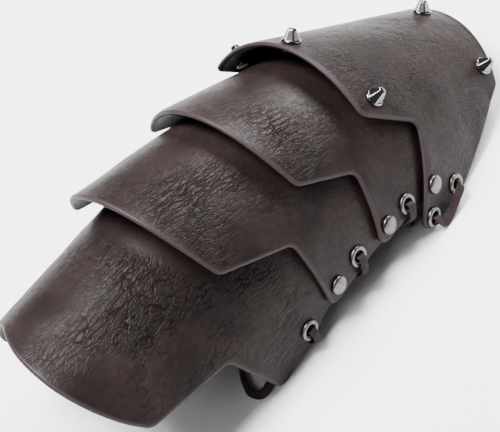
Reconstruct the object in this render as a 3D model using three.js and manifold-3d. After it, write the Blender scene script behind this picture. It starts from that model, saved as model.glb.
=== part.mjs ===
// Leather bracer: four formed lames joined by side rivets, laced under the arm, with a spiked cuff.
import * as THREE from 'three';
import { mergeVertices } from 'three/addons/utils/BufferGeometryUtils.js';
import Module from 'manifold-3d';

const wasm = await Module();
wasm.setup();

// Driving sizes in millimetres: X runs from the hand to the elbow, Y across the arm, Z up
const armRadius = 60;
const leather = 2.8;
const seat = 0.3;

// How far the flat facets may stand off the true curve inside the leather
const facet = 0.3;

// Curvature of the shared arm section, times its radius: at the crown, down the side and at the hem
const crownBend = 1.075;
const sideBend = 0.625;
const hemBend = 0.754;

// Width of the cuff's section as a share of the shared section's
const cuffSpread = 0.998;

// Rivets: domed head outside, a flat cap inside
const rivetRadius = 4.5;
const rivetDome = 2.2;
const rivetRim = 0.7;
const rivetShank = 1.7;
const capRadius = 3.6;
const capThick = 0.9;

// Eyelets: rolled flange outside, thin flange inside
const eyeRadius = 5.1;
const eyeBore = 2.8;
const eyeBarrel = 0.5;
const eyeRoll = 1.3;
const eyeBackRadius = 4.4;
const eyeBack = 0.6;

// Spikes: round foot, six-sided blunt cone, screw with a flat head inside
const footRadius = 4.8;
const footThick = 1.2;
const coneFoot = 4.3;
const coneTip = 2.1;
const spikeHeight = 6.6;
const coneSides = 6;
const screwRadius = 1.6;
const screwHead = 3.6;

// Lace: a flat band, and how far a crossing strand hangs below the hems
const laceWide = 4.2;
const laceThick = 1.2;
const laceSag = 7;

// Rounding of the outline corners
const tipRound = 6;
const notchRound = 5;
const cornerRound = 7;
const rearRound = 9;

// The four lames from the hand to the cuff. Lengths are shares of the arm radius and angles are degrees
// from the crown. x and z place the front of each lame's axis and reaches run back along that axis from
// the front tips. The hem bows up by hemBow between its two corners.
const lames = [
  { name: 'hand_lame', x: -2.124, z: -1.229, pitch: -29.5, radius: 0.906, taper: 0, lead: -0.26,
    tip: 76, notch: 85, notchReach: 0.73, corner: 126.5, cornerReach: 0.98,
    rearCrown: 1.75, rearReach: 1.91, rearAngle: 110, hemBow: 1.5 },
  { name: 'wrist_lame', x: -1.409, z: -0.535, pitch: -15.5, radius: 0.927, taper: -0.01, lead: -0.23,
    tip: 62, notch: 72.5, notchReach: 0.65, corner: 116.5, cornerReach: 0.8,
    rearCrown: 1.5, rearReach: 1.6, rearAngle: 103, hemBow: 3 },
  { name: 'mid_lame', x: -0.656, z: -0.184, pitch: -7.9, radius: 0.937, taper: -0.01, lead: -0.2,
    tip: 57.5, notch: 66, notchReach: 0.55, corner: 108, cornerReach: 0.59,
    rearCrown: 1.45, rearReach: 1.42, rearAngle: 99, hemBow: 4.5 },
  { name: 'cuff', x: 0, z: 0, pitch: 0, radius: 1.047, taper: -0.07, lead: -0.07,
    tip: 50.5, notch: 61.5, notchReach: 0.56, corner: 116, cornerReach: 0.35,
    rearCrown: 1.9, rearTip: 59.5, rearTipReach: 1.73, rearNotch: 67, rearNotchReach: 1.56,
    rearReach: 0.95, rearAngle: 99.5, hemBow: 0 },
];
const cuff = lames[3];

// Rivets join each lame to the one in front of it; the lame named is the outer one
const rivets = [
  { name: 'wrist', on: 1, angle: 104.5, reach: 0.89 },
  { name: 'mid', on: 2, angle: 96.5, reach: 0.69 },
  { name: 'cuff', on: 3, angle: 90.5, reach: 0.55 },
];

// Eyelets for the lace: one in each side of the three front lames, two in each side of the cuff
const eyelets = [
  { name: 'hand', on: 0, angle: 110.5, reach: 1.4 },
  { name: 'wrist', on: 1, angle: 99, reach: 1.15 },
  { name: 'mid', on: 2, angle: 92.5, reach: 0.93 },
  { name: 'cuff_front', on: 3, angle: 105, reach: 0.51 },
  { name: 'cuff_rear', on: 3, angle: 95.5, reach: 0.83 },
];

// Spikes on the cuff: two along the crown and two down each side
const spikes = [
  { name: 'crown_front', angle: 0, reach: 0.066 },
  { name: 'crown_rear', angle: 0, reach: 1.695 },
  { name: 'near_front', angle: 45, reach: 0.215 },
  { name: 'near_rear', angle: 48, reach: 1.65 },
  { name: 'far_front', angle: -45, reach: 0.215 },
  { name: 'far_rear', angle: -48, reach: 1.65 },
];

// Materials
const hide = new THREE.MeshStandardMaterial({ color: 0x3a2b2a, roughness: 0.55, metalness: 0 });
const band = new THREE.MeshStandardMaterial({ color: 0x4a3536, roughness: 0.8, metalness: 0 });
const steel = new THREE.MeshStandardMaterial({ color: 0xc9c9cc, roughness: 0.2, metalness: 1 });
const silver = new THREE.MeshStandardMaterial({ color: 0x9a9894, roughness: 0.35, metalness: 1 });

const rad = THREE.MathUtils.degToRad;

// Unit arm section from the crown down one side: its heading turns by the local curvature, and the
// width and height follow from the heading
const sectionStep = 0.01;
const section = [{ wide: 0, high: 1, heading: 0 }];
while (section.length < 320) {
  const turn = (section.length - 0.5) * sectionStep;
  const side = THREE.MathUtils.smoothstep(turn, 0, 1.6);
  const hem = THREE.MathUtils.smoothstep(turn, 1.45, 1.85);
  const bend = crownBend + (sideBend - crownBend) * side + (hemBend - sideBend) * hem;
  const last = section[section.length - 1];
  const heading = last.heading + bend * sectionStep;
  const middle = (last.heading + heading) / 2;
  section.push({
    wide: last.wide + Math.cos(middle) * sectionStep,
    high: last.high - Math.sin(middle) * sectionStep,
    heading,
  });
}

function sectionAt(turn) {
  const place = Math.min(Math.abs(turn) / sectionStep, section.length - 1.001);
  const index = Math.floor(place);
  const share = place - index;
  const a = section[index];
  const b = section[index + 1];
  const sign = Math.sign(turn);
  return {
    wide: sign * (a.wide + (b.wide - a.wide) * share),
    high: a.high + (b.high - a.high) * share,
    heading: sign * (a.heading + (b.heading - a.heading) * share),
  };
}

// Each lame's frame in the cuff's frame
for (const lame of lames) {
  lame.spread = cuffSpread;
  lame.frame = new THREE.Matrix4().makeRotationY(rad(lame.pitch));
  lame.frame.setPosition(lame.x * armRadius, 0, lame.z * armRadius);
  lame.inverse = lame.frame.clone().invert();
}

// Point on a lame: reach in mm along its axis, turn in radians from the crown (the near side, -Y, is
// positive), depth below the outer face, and the outward direction there
function skin(lame, reach, turn, depth = 0) {
  const size = lame.radius * armRadius + lame.taper * reach;
  const at = sectionAt(turn);
  const wide = at.wide * lame.spread;
  const sine = Math.sin(at.heading);
  const cosine = Math.cos(at.heading) * lame.spread;
  const normal = new THREE.Vector3(-lame.taper * (wide * sine + at.high * cosine), -sine, cosine);
  normal.normalize();
  const point = new THREE.Vector3(reach, -size * wide, size * at.high);
  point.addScaledVector(normal, -depth);
  return {
    point: point.applyMatrix4(lame.frame),
    normal: normal.transformDirection(lame.frame),
  };
}

// Where a point lies over a lame: its reach, its turn and its height above the outer face, measured
// across the lame's axis
function locate(lame, point) {
  const local = point.clone().applyMatrix4(lame.inverse);
  const size = lame.radius * armRadius + lame.taper * local.x;
  const angle = Math.atan2(Math.abs(local.y), local.z);
  let low = 0;
  let high = (section.length - 2) * sectionStep;
  for (let step = 0; step < 40; step += 1) {
    const turn = (low + high) / 2;
    const at = sectionAt(turn);
    if (Math.atan2(at.wide * lame.spread, at.high) < angle) {
      low = turn;
    } else {
      high = turn;
    }
  }
  const at = sectionAt(low);
  return {
    reach: local.x,
    turn: -Math.sign(local.y) * low,
    height: Math.hypot(local.y, local.z) - size * Math.hypot(at.wide * lame.spread, at.high),
  };
}

// Draws a turn up towards the crown by the bow of the hem, which fades out quickly above the hem
function bowed(lame, reach, turn) {
  const along = (reach / armRadius - lame.cornerReach) / (lame.rearReach - lame.cornerReach);
  const share = THREE.MathUtils.clamp(along, 0, 1);
  const straight = rad(THREE.MathUtils.lerp(lame.corner, lame.rearAngle, share));
  const bow = rad(lame.hemBow) * 4 * share * (1 - share);
  return Math.sign(turn) * (Math.abs(turn) - bow * Math.min(Math.abs(turn) / straight, 1) ** 4);
}

// How far down a lame's hem lies at a given reach, in radians from the crown
function hemTurn(lame, reach) {
  const share = (reach / armRadius - lame.cornerReach) / (lame.rearReach - lame.cornerReach);
  return bowed(lame, reach, rad(THREE.MathUtils.lerp(lame.corner, lame.rearAngle, share)));
}

// From the cuff forwards, each lame is drawn in or let out until it seats under the rivet of the lame
// outside it
for (const rivet of [...rivets].reverse()) {
  const outer = lames[rivet.on];
  const inner = lames[rivet.on - 1];
  const under = skin(outer, rivet.reach * armRadius, rad(rivet.angle), leather + facet).point;
  let low = 0.8;
  let high = 1.3;
  for (let step = 0; step < 40; step += 1) {
    inner.spread = (low + high) / 2;
    if (locate(inner, under).height > seat) {
      low = inner.spread;
    } else {
      high = inner.spread;
    }
  }
}

// Reach in mm of a lame's front edge at a turn, its corners left sharp
function frontReach(lame, turn) {
  const angle = Math.abs(turn) / rad(1);
  const share = (from, to) => (angle - from) / (to - from);
  if (angle < lame.tip) {
    return armRadius * lame.lead * (1 - share(0, lame.tip) ** 2);
  }
  if (angle < lame.notch) {
    return armRadius * lame.notchReach * share(lame.tip, lame.notch);
  }
  const lower = Math.min(share(lame.notch, lame.corner), 1);
  return armRadius * THREE.MathUtils.lerp(lame.notchReach, lame.cornerReach, lower);
}

// How far the lame outside presses this one in at a point, so that the two never meet
const pressRun = 8;
function pressed(lame, reach, turn) {
  const outer = lames[lames.indexOf(lame) + 1];
  if (!outer) {
    return 0;
  }
  const over = locate(outer, skin(lame, reach, turn).point);
  const edge = frontReach(outer, over.turn) - 1;
  const covered = THREE.MathUtils.smoothstep(over.reach, edge - pressRun, edge);
  return covered * Math.max(over.height + leather + seat + facet * 1.5, 0);
}

// Point and outward direction on a lame as it stands, pressed in where another lame covers it
function surface(lame, reach, turn, depth = 0) {
  return skin(lame, reach, turn, depth + pressed(lame, reach, turn));
}

// Rounds the corners of a path with arcs: each corner has its own radius, the ends have none
function rounded(path, radii, steps) {
  const points = [];
  path.forEach((corner, index) => {
    if (!radii[index]) {
      points.push(corner);
      return;
    }
    const back = path[index - 1].clone().sub(corner).normalize();
    const ahead = path[index + 1].clone().sub(corner).normalize();
    const half = back.angleTo(ahead) / 2;
    const trim = radii[index] / Math.tan(half);
    const centre = back.clone().add(ahead).normalize();
    centre.multiplyScalar(radii[index] / Math.sin(half)).add(corner);
    const start = corner.clone().addScaledVector(back, trim).sub(centre);
    const end = corner.clone().addScaledVector(ahead, trim).sub(centre);
    const swing = Math.atan2(start.cross(end), start.dot(end));
    for (let step = 0; step <= steps; step += 1) {
      points.push(start.clone().rotateAround(new THREE.Vector2(), swing * step / steps).add(centre));
    }
  });
  return points;
}

// Half outline of a lame, unrolled flat in mm: the front edge runs from the crown round the lower corner
// to the hem, and the rear edge is paired with it point by point
const arcSteps = 3;
const crownSteps = 8;
function halfOutline(lame) {
  const size = lame.radius * armRadius;
  const flat = (reach, angle) => new THREE.Vector2(reach * armRadius, rad(angle) * size);
  const corner = flat(lame.cornerReach, lame.corner);
  const rear = flat(lame.rearReach, lame.rearAngle);
  const draw = (curve, bends, last) => {
    const points = [];
    const radii = [];
    for (let step = 0; step < crownSteps; step += 1) {
      points.push(curve(step / crownSteps));
      radii.push(0);
    }
    for (const bend of bends) {
      points.push(bend.point);
      radii.push(bend.round);
    }
    const path = rounded([...points, last], [...radii, 0], arcSteps);
    path.pop();
    for (let index = bends.length - 1; index > 0; index -= 1) {
      const before = crownSteps + index * (arcSteps + 1) - 1;
      const between = [];
      for (let step = 1; step < bends[index].parts; step += 1) {
        between.push(path[before].clone().lerp(path[before + 1], step / bends[index].parts));
      }
      path.splice(before + 1, 0, ...between);
    }
    return path;
  };
  const front = draw((share) => flat(lame.lead * (1 - share * share), lame.tip * share), [
    { point: flat(0, lame.tip), round: tipRound },
    { point: flat(lame.notchReach, lame.notch), round: notchRound, parts: 2 },
    { point: corner, round: cornerRound, parts: 6 },
  ], rear);
  if (lame.rearTip) {
    const back = (share) => flat(
      lame.rearTipReach + (lame.rearCrown - lame.rearTipReach) * (1 - share * share),
      lame.rearTip * share,
    );
    return { front, rear: draw(back, [
      { point: flat(lame.rearTipReach, lame.rearTip), round: tipRound },
      { point: flat(lame.rearNotchReach, lame.rearNotch), round: notchRound, parts: 2 },
      { point: rear, round: cornerRound, parts: 6 },
    ], corner) };
  }
  const crown = new THREE.Vector2(lame.rearCrown * armRadius, rear.y * 0.5);
  const turned = rounded([crown, rear, corner], [0, rearRound, 0], arcSteps).slice(1, -1);
  const start = turned[0];
  const plain = front.length - turned.length;
  const back = front.slice(0, plain).map((point) => {
    const share = point.y / front[plain].y;
    return new THREE.Vector2(crown.x + (start.x - crown.x) * share ** 2, start.y * share);
  });
  return { front, rear: [...back, ...turned] };
}

// A closed body from a grid of outer points and a grid of inner points, both by column and row
function shell(outer, inner) {
  const columns = outer.length;
  const rows = outer[0].length;
  const positions = [...outer.flat(), ...inner.flat()].flatMap((point) => point.toArray());
  const out = (column, row) => column * rows + row;
  const into = (column, row) => columns * rows + column * rows + row;
  const faces = [];
  const quad = (a, b, c, d) => faces.push(a, c, b, a, d, c);
  for (let column = 0; column + 1 < columns; column += 1) {
    for (let row = 0; row + 1 < rows; row += 1) {
      quad(out(column, row), out(column, row + 1), out(column + 1, row + 1), out(column + 1, row));
      quad(into(column, row), into(column + 1, row), into(column + 1, row + 1), into(column, row + 1));
    }
    const last = rows - 1;
    quad(out(column, 0), out(column + 1, 0), into(column + 1, 0), into(column, 0));
    quad(out(column + 1, last), out(column, last), into(column, last), into(column + 1, last));
  }
  for (let row = 0; row + 1 < rows; row += 1) {
    const end = columns - 1;
    quad(out(0, row + 1), out(0, row), into(0, row), into(0, row + 1));
    quad(out(end, row), out(end, row + 1), into(end, row + 1), into(end, row));
  }
  const geometry = new THREE.BufferGeometry();
  geometry.setAttribute('position', new THREE.Float32BufferAttribute(positions, 3));
  geometry.setIndex(faces);
  return geometry;
}

// Changes between a geometry and a solid
function toSolid(geometry) {
  const bare = geometry.clone();
  bare.deleteAttribute('normal');
  bare.deleteAttribute('uv');
  const merged = mergeVertices(bare, 1e-4);
  return new wasm.Manifold(new wasm.Mesh({
    numProp: 3,
    vertProperties: new Float32Array(merged.attributes.position.array),
    triVerts: new Uint32Array(merged.index.array),
  }));
}

function toGeometry(solid) {
  const mesh = solid.getMesh();
  const geometry = new THREE.BufferGeometry();
  geometry.setAttribute('position', new THREE.Float32BufferAttribute(mesh.vertProperties, 3));
  geometry.setIndex([...mesh.triVerts]);
  geometry.computeVertexNormals();
  return geometry;
}

// Turns a fitting's own axis, +Y, to the outward direction at its place
function aim(object, place) {
  object.position.copy(place.point);
  object.quaternion.setFromUnitVectors(new THREE.Vector3(0, 1, 0), place.normal);
  object.updateMatrix();
  return object;
}

function drill(place, radius) {
  const geometry = new THREE.CylinderGeometry(radius, radius, leather * 8, 12);
  const tool = aim(new THREE.Object3D(), place);
  geometry.applyMatrix4(tool.matrix);
  return toSolid(geometry);
}

// Places of the fittings: the near side has positive angles, the far side mirrors it
const sides = [
  { name: 'near', sign: 1 },
  { name: 'far', sign: -1 },
];
const placeOn = (lame, item, sign = 1) => surface(lame, item.reach * armRadius, sign * rad(item.angle));
const rivetPlaces = rivets.flatMap((rivet) => sides.map((side) => ({
  name: `rivet_${rivet.name}_${side.name}`,
  outer: lames[rivet.on],
  inner: lames[rivet.on - 1],
  place: placeOn(lames[rivet.on], rivet, side.sign),
})));
const eyePlaces = eyelets.flatMap((eyelet) => sides.map((side) => ({
  name: `eyelet_${eyelet.name}_${side.name}`,
  lame: lames[eyelet.on],
  place: placeOn(lames[eyelet.on], eyelet, side.sign),
})));
const spikePlaces = spikes.map((spike) => ({
  name: `spike_${spike.name}`,
  place: placeOn(cuff, spike),
}));

// Leather lames with their holes
const rows = 4;
const eyeOuter = eyeBore + eyeBarrel;
function lameGrid(lame, depth) {
  const half = halfOutline(lame);
  const size = lame.radius * armRadius;
  const last = half.front.length - 1;
  const grid = [];
  for (let index = -last; index <= last; index += 1) {
    const sign = Math.sign(index);
    const front = half.front[Math.abs(index)];
    const rear = half.rear[Math.abs(index)];
    const column = [];
    for (let row = 0; row <= rows; row += 1) {
      const share = row / rows;
      const flat = front.clone().lerp(rear, share);
      const turn = sign * bowed(lame, flat.x, flat.y / size);
      column.push(surface(lame, flat.x, turn, depth).point);
    }
    grid.push(column);
  }
  return grid;
}

function lameSolid(lame) {
  let solid = toSolid(shell(lameGrid(lame, 0), lameGrid(lame, leather)));
  for (const rivet of rivetPlaces.filter((item) => item.outer === lame || item.inner === lame)) {
    solid = solid.subtract(drill(rivet.place, rivetShank + seat + 0.1));
  }
  for (const eyelet of eyePlaces.filter((item) => item.lame === lame)) {
    solid = solid.subtract(drill(eyelet.place, eyeOuter + seat + 0.1));
  }
  if (lame === cuff) {
    for (const spike of spikePlaces) {
      solid = solid.subtract(drill(spike.place, screwRadius + seat + 0.1));
    }
  }
  return solid;
}

// Deepest reach of a lame's inner face within a radius of a fitting, along the fitting's axis
function depthUnder(lame, place, radius) {
  const middle = locate(lame, place.point);
  const size = lame.radius * armRadius;
  let deepest = 0;
  for (let step = 0; step < 24; step += 1) {
    const angle = step * Math.PI / 12;
    const reach = middle.reach + radius * Math.cos(angle);
    const turn = middle.turn + radius * Math.sin(angle) / size;
    const point = surface(lame, reach, turn, leather).point;
    deepest = Math.max(deepest, place.point.clone().sub(point).dot(place.normal));
  }
  return deepest;
}

// Fittings turned about +Y, with the leather's outer face at height 0
const lathe = (profile, around) => new THREE.LatheGeometry(
  profile.map(([x, y]) => new THREE.Vector2(x, y)),
  around,
);

function rivetShape(grip) {
  const bottom = -grip - seat - facet;
  const profile = [[0, bottom - capThick], [capRadius, bottom - capThick], [capRadius, bottom]];
  profile.push([rivetShank, bottom], [rivetShank, seat], [rivetRadius, seat]);
  const domeSteps = 3;
  for (let step = 0; step <= domeSteps; step += 1) {
    const angle = step * Math.PI / 2 / domeSteps;
    const height = seat + rivetRim + (rivetDome - rivetRim) * Math.sin(angle);
    profile.push([step === domeSteps ? 0 : rivetRadius * Math.cos(angle), height]);
  }
  return lathe(profile, 12);
}

function eyeletShape(grip) {
  const back = -grip - seat - facet;
  const middle = (eyeRadius + eyeBore) / 2;
  const lip = seat + eyeRoll * 0.5;
  const profile = [[eyeBore, back - eyeBack], [eyeBackRadius, back - eyeBack], [eyeBackRadius, back]];
  profile.push([eyeOuter, back], [eyeOuter, seat], [eyeRadius, seat], [eyeRadius, lip]);
  profile.push([middle, seat + eyeRoll], [eyeBore, lip], [eyeBore, back - eyeBack]);
  return lathe(profile, 12);
}

function spikeShape(grip) {
  const bottom = -grip - seat - facet;
  const screw = [[0, bottom - capThick], [screwHead, bottom - capThick], [screwHead, bottom]];
  screw.push([screwRadius, bottom], [screwRadius, seat], [footRadius, seat]);
  screw.push([footRadius, seat + footThick * 0.5], [coneFoot, seat + footThick], [0, seat + footThick]);
  const cone = [[0, seat + footThick * 0.5], [coneFoot, seat + footThick * 0.5]];
  cone.push([coneTip, spikeHeight - 0.6], [coneTip - 0.7, spikeHeight], [0, spikeHeight]);
  return toGeometry(toSolid(lathe(screw, 12)).add(toSolid(lathe(cone, coneSides))));
}

// Rest: the bracer is tipped about the cuff's frame until the hem of the hand lame and the lowest hem
// behind it stand on one level
const outlinePoints = (lame) => [lameGrid(lame, 0), lameGrid(lame, leather)].flat(2);
const lowest = (points, tilt) => {
  const turn = new THREE.Matrix4().makeRotationY(tilt);
  return Math.min(...points.map((point) => point.clone().applyMatrix4(turn).z));
};
const handPoints = outlinePoints(lames[0]);
const rearPoints = lames.slice(1).flatMap(outlinePoints);
let restTilt = 0;
for (let low = 0, high = Math.PI / 3, step = 0; step < 40; step += 1) {
  restTilt = (low + high) / 2;
  if (lowest(rearPoints, restTilt) > lowest(handPoints, restTilt)) {
    low = restTilt;
  } else {
    high = restTilt;
  }
}
const floorLevel = lowest(handPoints, restTilt);
const toRest = new THREE.Matrix4().makeRotationY(restTilt);
const fromRest = toRest.clone().invert();

// Raises a point until it clears the surface that the bracer rests on
function aboveFloor(point, clearance) {
  const level = point.clone().applyMatrix4(toRest);
  level.z = Math.max(level.z, floorLevel + clearance);
  return level.applyMatrix4(fromRest);
}

// Lace: one flat band. From the middle of its bar under the hand it comes out of an eyelet, goes over the
// hem and across to the other side, and so on to the cuff, where it is slack and stays on its own side
const axial = (lame) => new THREE.Vector3(1, 0, 0).transformDirection(lame.frame);
function laceHalf(sign, lift) {
  const stations = [];
  const at = (index, side) => {
    const eyelet = eyelets[index];
    const lame = lames[eyelet.on];
    const reach = eyelet.reach * armRadius;
    const size = lame.radius * armRadius;
    return {
      lame,
      along: axial(lame),
      point: (down, depth, back = 0) => surface(
        lame, reach + back, side * (rad(eyelet.angle) + down / size), depth,
      ).point,
      hem: (down, depth, back = 0) => surface(
        lame, reach + back, side * (hemTurn(lame, reach) + down / size), depth,
      ).point,
    };
  };
  const add = (point, wide) => stations.push({ point: aboveFloor(point, laceWide * 0.65), wide });
  const under = leather + facet + seat + eyeBack;
  const through = (eye, wide = eye.along) => {
    add(eye.point(0, under + laceThick * 2), wide);
    add(eye.point(0, leather / 2), wide);
    add(eye.point(0, -seat - eyeRoll - laceThick * 1.1), wide);
  };
  const over = (eye) => {
    add(eye.point(eyeRadius * 0.6, -seat - eyeRoll - laceThick * 1.4), eye.along);
    add(eye.hem(0, -laceThick * 1.9), eye.along);
    add(eye.hem(laceThick * 2.1, leather / 2), eye.along);
  };
  const across = (from, to, sag) => {
    const start = from.hem(laceThick * 2.1, leather / 2);
    const end = to.hem(laceThick, under + laceThick * 5, laceWide * 1.6);
    add(from.hem(0, leather + laceThick * 4.5), from.along);
    const middle = start.clone().add(end).multiplyScalar(0.5);
    middle.y = 0;
    middle.z = Math.min(start.z, end.z) - sag;
    add(middle, from.along);
    add(end, to.along);
  };
  const hand = at(0, sign);
  const wrist = at(1, -sign);
  const mid = at(2, sign);
  const cuffFront = at(3, sign);
  const cuffRear = at(4, sign);
  add(hand.hem(laceWide, leather + armRadius * 0.3, -armRadius * 0.3), hand.along);
  add(hand.point(eyeRadius, under + laceThick * 4, -laceWide), hand.along);
  through(hand);
  over(hand);
  across(hand, wrist, laceSag - lift);
  through(wrist);
  over(wrist);
  across(wrist, mid, laceSag - lift);
  through(mid);
  over(mid);
  add(mid.hem(laceWide * 1.6, under + laceThick * 2, laceWide * 0.8), mid.along);
  add(cuffFront.point(laceWide * 1.3, under + laceThick * 5, -laceWide * 0.4), cuffFront.along);
  through(cuffFront);
  const side = new THREE.Vector3(0, sign, 1).normalize();
  add(cuffFront.point(laceWide * 1.6, -laceWide * 1.2, laceWide), side);
  add(cuffRear.point(laceWide * 1.6, -laceWide * 1.2, -laceWide), side);
  add(cuffRear.point(0, -seat - eyeRoll - laceThick * 1.1), side);
  add(cuffRear.point(0, leather / 2), side);
  add(cuffRear.point(0, under + laceThick * 2), side);
  add(cuffRear.point(-laceWide, under + laceThick * 6), side);
  return stations;
}

// The band: a rectangle carried along the stations, its width turned to the direction given at each,
// with a new section wherever the path has turned enough or run far enough
const laceTurn = rad(24);
const laceRun = 12;
function bandSolid(stations) {
  const path = new THREE.CatmullRomCurve3(stations.map((station) => station.point), false, 'centripetal');
  const fine = (stations.length - 1) * 16;
  const corners = [[1, 1], [1, -1], [-1, -1], [-1, 1]];
  const positions = [];
  let count = -1;
  let last = null;
  for (let index = 0; index <= fine; index += 1) {
    const time = index / fine;
    const point = path.getPoint(time);
    const along = path.getTangent(time);
    const turned = last && along.angleTo(last.along) > laceTurn;
    const ran = last && point.distanceTo(last.point) > laceRun;
    if (last && index < fine && !turned && !ran) {
      continue;
    }
    last = { point, along };
    count += 1;
    const place = Math.min(time * (stations.length - 1), stations.length - 1.0001);
    const first = stations[Math.floor(place)].wide;
    const second = stations[Math.floor(place) + 1].wide;
    const wide = first.clone().lerp(second, place - Math.floor(place));
    wide.addScaledVector(along, -wide.dot(along)).normalize();
    const thick = along.clone().cross(wide);
    for (const [across, through] of corners) {
      const vertex = point.clone().addScaledVector(wide, across * laceWide / 2);
      positions.push(...vertex.addScaledVector(thick, through * laceThick / 2).toArray());
    }
  }
  const faces = [0, 1, 2, 0, 2, 3];
  for (let index = 0; index < count; index += 1) {
    for (let corner = 0; corner < 4; corner += 1) {
      const next = (corner + 1) % 4;
      const a = index * 4 + corner;
      const b = index * 4 + next;
      faces.push(a, a + 4, b + 4, a, b + 4, b);
    }
  }
  const end = count * 4;
  faces.push(end, end + 2, end + 1, end, end + 3, end + 2);
  const geometry = new THREE.BufferGeometry();
  geometry.setAttribute('position', new THREE.Float32BufferAttribute(positions, 3));
  geometry.setIndex(faces);
  return geometry;
}

// Everything in the cuff's frame, then tipped so that it rests on the hems, its box centred on the origin
const bracer = new THREE.Group();
function addMesh(name, geometry, material, place) {
  geometry.computeVertexNormals();
  const mesh = new THREE.Mesh(geometry, material);
  mesh.name = name;
  if (place) {
    aim(mesh, place);
  }
  bracer.add(mesh);
}

for (const lame of lames) {
  addMesh(lame.name, toGeometry(lameSolid(lame)), hide);
}
for (const rivet of rivetPlaces) {
  addMesh(rivet.name, rivetShape(depthUnder(rivet.inner, rivet.place, capRadius)), silver, rivet.place);
}
for (const eyelet of eyePlaces) {
  addMesh(eyelet.name, eyeletShape(depthUnder(eyelet.lame, eyelet.place, eyeBackRadius)), silver, eyelet.place);
}
for (const spike of spikePlaces) {
  addMesh(spike.name, spikeShape(depthUnder(cuff, spike.place, screwHead)), steel, spike.place);
}
const laceStations = [...laceHalf(-1, 0).reverse(), ...laceHalf(1, laceThick * 3)];
addMesh('lace', bandSolid(laceStations), band);

bracer.rotation.y = restTilt;
const box = new THREE.Box3().setFromObject(bracer, true);
bracer.position.set(-(box.min.x + box.max.x) / 2, -(box.min.y + box.max.y) / 2, -box.min.z);

export default bracer;
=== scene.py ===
"""A leather bracer of four formed lames, joined by rivets, laced under the arm and spiked on the cuff."""
import math

import bpy
import numpy as np
from mathutils import Matrix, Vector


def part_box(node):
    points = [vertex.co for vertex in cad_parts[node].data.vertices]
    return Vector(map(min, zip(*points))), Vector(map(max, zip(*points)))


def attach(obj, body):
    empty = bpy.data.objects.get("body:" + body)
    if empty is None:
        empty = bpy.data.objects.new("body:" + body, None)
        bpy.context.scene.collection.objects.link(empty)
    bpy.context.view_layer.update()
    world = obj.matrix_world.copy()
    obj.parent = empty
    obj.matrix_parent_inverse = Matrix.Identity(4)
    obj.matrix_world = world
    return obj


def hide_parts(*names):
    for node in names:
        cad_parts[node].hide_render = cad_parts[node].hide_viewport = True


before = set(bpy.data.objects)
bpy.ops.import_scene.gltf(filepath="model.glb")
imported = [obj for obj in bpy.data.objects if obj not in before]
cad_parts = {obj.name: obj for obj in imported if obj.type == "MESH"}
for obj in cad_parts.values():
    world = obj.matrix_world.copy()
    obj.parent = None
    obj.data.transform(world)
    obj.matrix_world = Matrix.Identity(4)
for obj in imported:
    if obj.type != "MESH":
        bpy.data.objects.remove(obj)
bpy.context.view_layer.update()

MM = 0.001
HALVINGS = 40

# Named sizes of the bracer in millimetres, the same as the solid model's
ARM = 60.0
LEATHER = 2.8
SEAT = 0.3
FACET = 0.3
CROWN_BEND, SIDE_BEND, HEM_BEND = 1.075, 0.625, 0.754
CUFF_SPREAD = 0.998
RIVET_RADIUS, RIVET_DOME, RIVET_RIM, RIVET_SHANK, CAP_RADIUS, CAP_THICK = 4.5, 2.2, 0.7, 1.7, 3.6, 0.9
EYE_RADIUS, EYE_BORE, EYE_BARREL, EYE_ROLL, EYE_BACK_RADIUS, EYE_BACK = 5.1, 2.8, 0.5, 1.3, 4.4, 0.6
FOOT_RADIUS, FOOT_THICK, CONE_FOOT, CONE_TIP, SPIKE_HEIGHT = 4.8, 1.2, 4.3, 2.1, 6.6
SCREW_RADIUS, SCREW_HEAD = 1.6, 3.6
LACE_WIDE, LACE_THICK, LACE_SAG = 4.2, 1.2, 7.0
TIP_ROUND, NOTCH_ROUND, CORNER_ROUND, REAR_ROUND = 6.0, 5.0, 7.0, 9.0
# Run in which a lame is pressed in, and how far ahead of the edge outside it is fully in
PRESS_RUN, PRESS_LEAD = 8.0, 1.0
# The solid model's steps along an arc and over half a crown, and its rows from edge to edge
PLAIN_ARC, PLAIN_CROWN, PLAIN_ROWS = 3, 8, 5

# The lames from the hand to the cuff: lengths are shares of ARM, angles are degrees from the crown
LAMES = [
    dict(name="hand_lame", x=-2.124, z=-1.229, pitch=-29.5, radius=0.906, taper=0.0, lead=-0.26,
         tip=76, notch=85, notch_reach=0.73, corner=126.5, corner_reach=0.98,
         rear_crown=1.75, rear_reach=1.91, rear_angle=110, hem_bow=1.5),
    dict(name="wrist_lame", x=-1.409, z=-0.535, pitch=-15.5, radius=0.927, taper=-0.01, lead=-0.23,
         tip=62, notch=72.5, notch_reach=0.65, corner=116.5, corner_reach=0.8,
         rear_crown=1.5, rear_reach=1.6, rear_angle=103, hem_bow=3),
    dict(name="mid_lame", x=-0.656, z=-0.184, pitch=-7.9, radius=0.937, taper=-0.01, lead=-0.2,
         tip=57.5, notch=66, notch_reach=0.55, corner=108, corner_reach=0.59,
         rear_crown=1.45, rear_reach=1.42, rear_angle=99, hem_bow=4.5),
    dict(name="cuff", x=0.0, z=0.0, pitch=0.0, radius=1.047, taper=-0.07, lead=-0.07,
         tip=50.5, notch=61.5, notch_reach=0.56, corner=116, corner_reach=0.35,
         rear_crown=1.9, rear_tip=59.5, rear_tip_reach=1.73, rear_notch=67, rear_notch_reach=1.56,
         rear_reach=0.95, rear_angle=99.5, hem_bow=0),
]
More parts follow.
